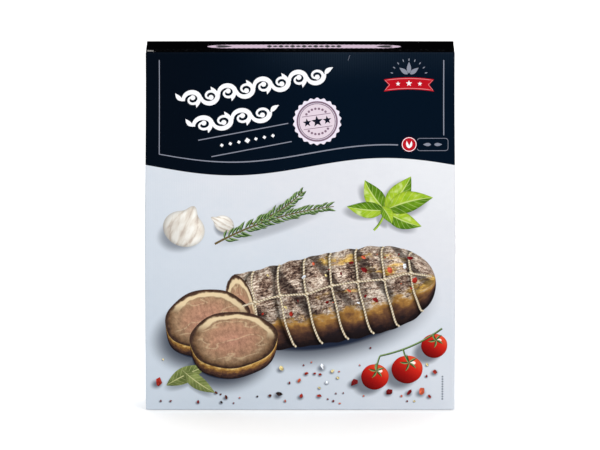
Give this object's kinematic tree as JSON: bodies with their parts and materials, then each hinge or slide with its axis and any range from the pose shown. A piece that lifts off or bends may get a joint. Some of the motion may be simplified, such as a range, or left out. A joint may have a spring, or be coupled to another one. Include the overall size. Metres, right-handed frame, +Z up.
{
  "type": "folding food carton",
  "caption": "Shut upright folding carton of printed micro-flute board, with a tucked closure at each end.",
  "frame": {"origin": "centre of the carton's footprint, on the surface that it stands on", "axes": "+Z up the carton, -Y out of the front panel, +X to the right of someone facing the front panel"},
  "size_m": [0.2438, 0.0404, 0.2892],
  "materials": {
    "printed_board": "printed satin micro-flute board"
  },
  "bodies": {
    "root": {"carton": "printed_board"}
  },
  "joints": []
}
